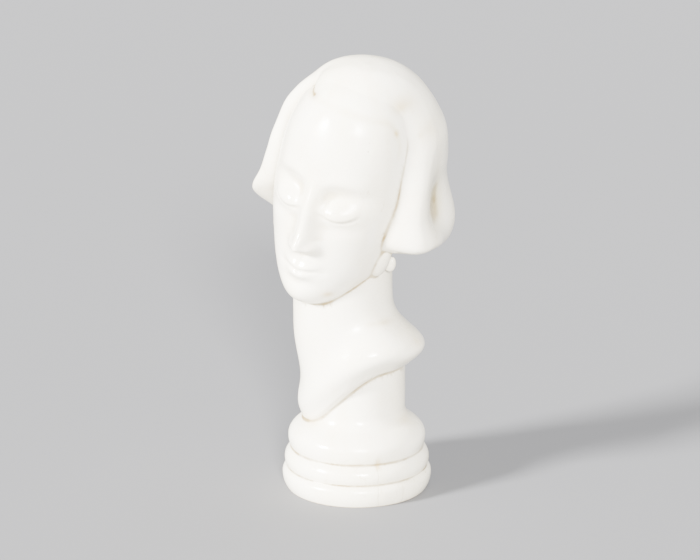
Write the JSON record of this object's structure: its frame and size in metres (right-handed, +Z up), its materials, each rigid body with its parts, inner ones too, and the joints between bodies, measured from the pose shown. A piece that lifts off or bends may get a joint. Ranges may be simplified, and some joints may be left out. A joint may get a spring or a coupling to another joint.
{
  "type": "art deco bust",
  "caption": "Glazed ceramic Art Deco bust: a bowed, tilted head with bobbed hair and ear drops on a long neck, with a slanting shoulder line and a ringed round foot.",
  "frame": {"origin": "centre of the round foot's flat underside", "axes": "+Z up through the foot's axis, -Y the way the head looks, +X the figure's left"},
  "size_m": [0.1366, 0.145, 0.2999],
  "materials": {
    "glaze": "glazed ceramic: cream white, satin to glossy, finely crackled, with brown and yellow-green stain in the hollows"
  },
  "bodies": {
    "root": {"bust": "glaze"}
  },
  "joints": []
}
